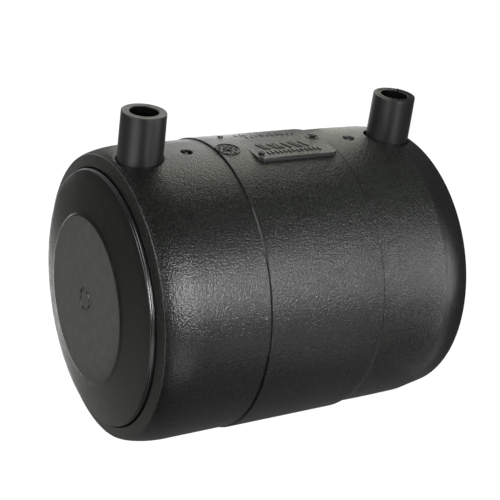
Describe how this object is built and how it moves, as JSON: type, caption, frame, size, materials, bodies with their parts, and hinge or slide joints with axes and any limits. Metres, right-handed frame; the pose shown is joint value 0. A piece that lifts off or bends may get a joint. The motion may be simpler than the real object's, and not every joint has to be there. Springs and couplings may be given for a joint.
{
  "type": "electrofusion pipe end cap",
  "caption": "Black polyethylene electrofusion coupler closed by a moulded plug, with shrouded heating terminals on one side.",
  "frame": {"origin": "centre of the open mouth, in the plane of the mouth's rim", "axes": "+Z along the pipe axis from the mouth to the closed end, +X towards the terminals"},
  "size_m": [0.1088, 0.095, 0.1145],
  "materials": {
    "body_polyethylene": "spark-eroded grain, as moulded",
    "plug_polyethylene": "smooth, as moulded",
    "shroud_polyethylene": "smooth, as moulded",
    "wire_copper": "drawn wire",
    "terminal_metal": "turned and tinned"
  },
  "bodies": {
    "root": {"coupler_body": "body_polyethylene", "end_plug": "plug_polyethylene", "heating_wire": "wire_copper", "terminal_shroud_mouth": "shroud_polyethylene", "terminal_shroud_plug": "shroud_polyethylene", "terminal_pin_mouth": "terminal_metal", "terminal_pin_plug": "terminal_metal"}
  },
  "joints": []
}
